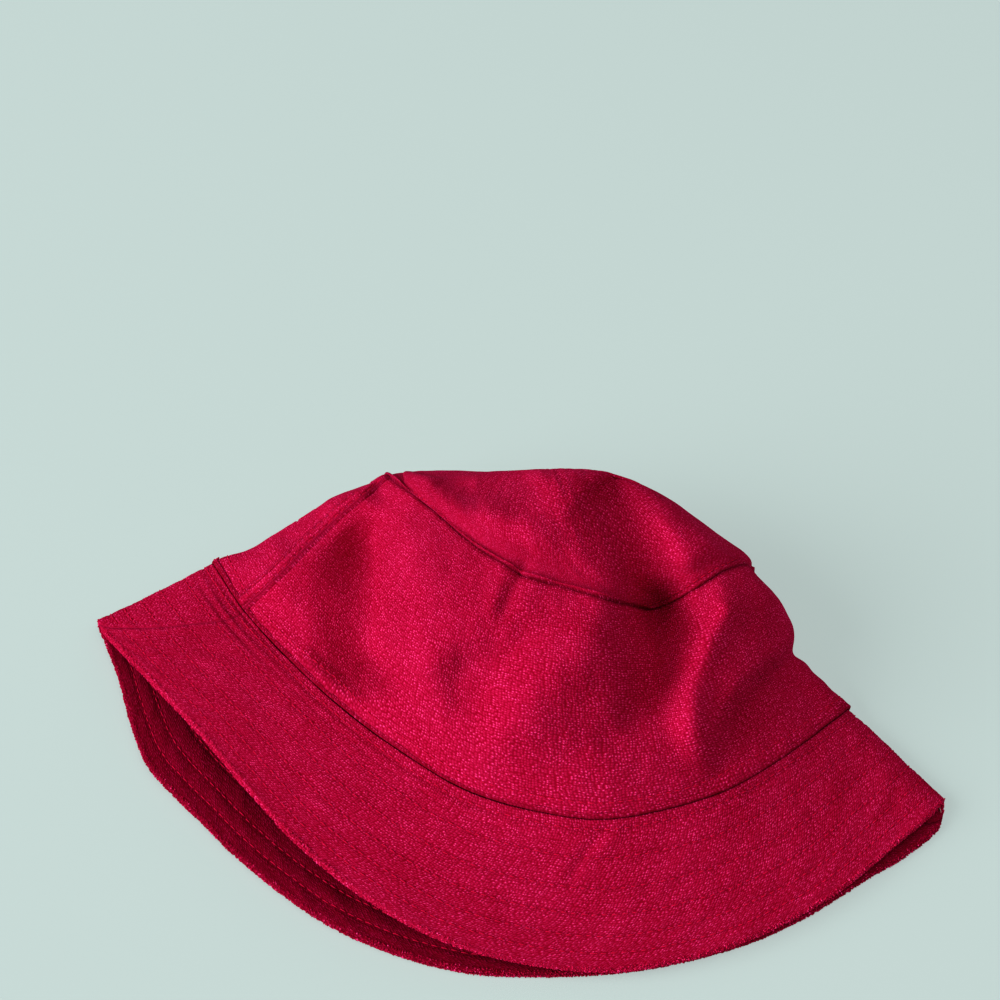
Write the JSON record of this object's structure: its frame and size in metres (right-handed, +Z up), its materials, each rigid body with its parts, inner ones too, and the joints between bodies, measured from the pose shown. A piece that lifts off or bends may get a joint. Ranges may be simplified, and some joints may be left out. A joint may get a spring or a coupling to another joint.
{
  "type": "bucket hat",
  "caption": "Soft terry-cloth bucket hat lying collapsed on its back half, with a row-stitched downturned brim and a crumpled crown whose mouth lifts open.",
  "frame": {"origin": "on the ground, at the middle of the line that joins the hat's two folded brim corners, under the back crown panel", "axes": "+X from the left folded corner of the brim to the right one, +Y from the brim edge towards the crown tip, +Z up from the ground the hat lies on"},
  "size_m": [0.3151, 0.177, 0.0611],
  "materials": {
    "terry_outer": "looped terry towelling, crimson pink, matt with a soft pile sheen",
    "terry_inner": "looped terry towelling, crimson, matt",
    "interlining": "woven fusible interlining, matt white",
    "sweatband_cotton": "cotton twill, matt",
    "cotton_tape": "herringbone cotton tape, matt",
    "sewing_thread": "spun polyester sewing thread, matt",
    "satin_label": "blank woven satin label, soft sheen"
  },
  "bodies": {
    "back_half": {"brim_back_top": "terry_outer", "brim_back_under": "terry_inner", "brim_back_interlining": "interlining", "crown_back_panel": "terry_outer", "sweatband": "sweatband_cotton", "left_side_seam_tape": "cotton_tape", "right_side_seam_tape": "cotton_tape", "brim_back_row_stitching": "sewing_thread", "crown_back_base_stitching": "sewing_thread", "sweatband_stitching": "sewing_thread", "care_label": "satin_label", "loose_thread": "sewing_thread"},
    "front_half": {"brim_front_top": "terry_outer", "brim_front_interlining": "interlining", "brim_front_under": "terry_inner", "crown_front_panel": "terry_outer", "crown_tip": "terry_outer", "tip_seam_tape": "cotton_tape", "brim_front_row_stitching": "sewing_thread", "crown_front_base_stitching": "sewing_thread", "tip_stitching": "sewing_thread", "left_side_seam_stitching": "sewing_thread", "right_side_seam_stitching": "sewing_thread"}
  },
  "joints": [
    {"name": "mouth_open", "type": "hinge", "parent": "back_half", "child": "front_half", "pos_m": [0, 0.088, 0.002], "axis": [-1, 0, 0], "range_deg": [0, 14]}
  ]
}
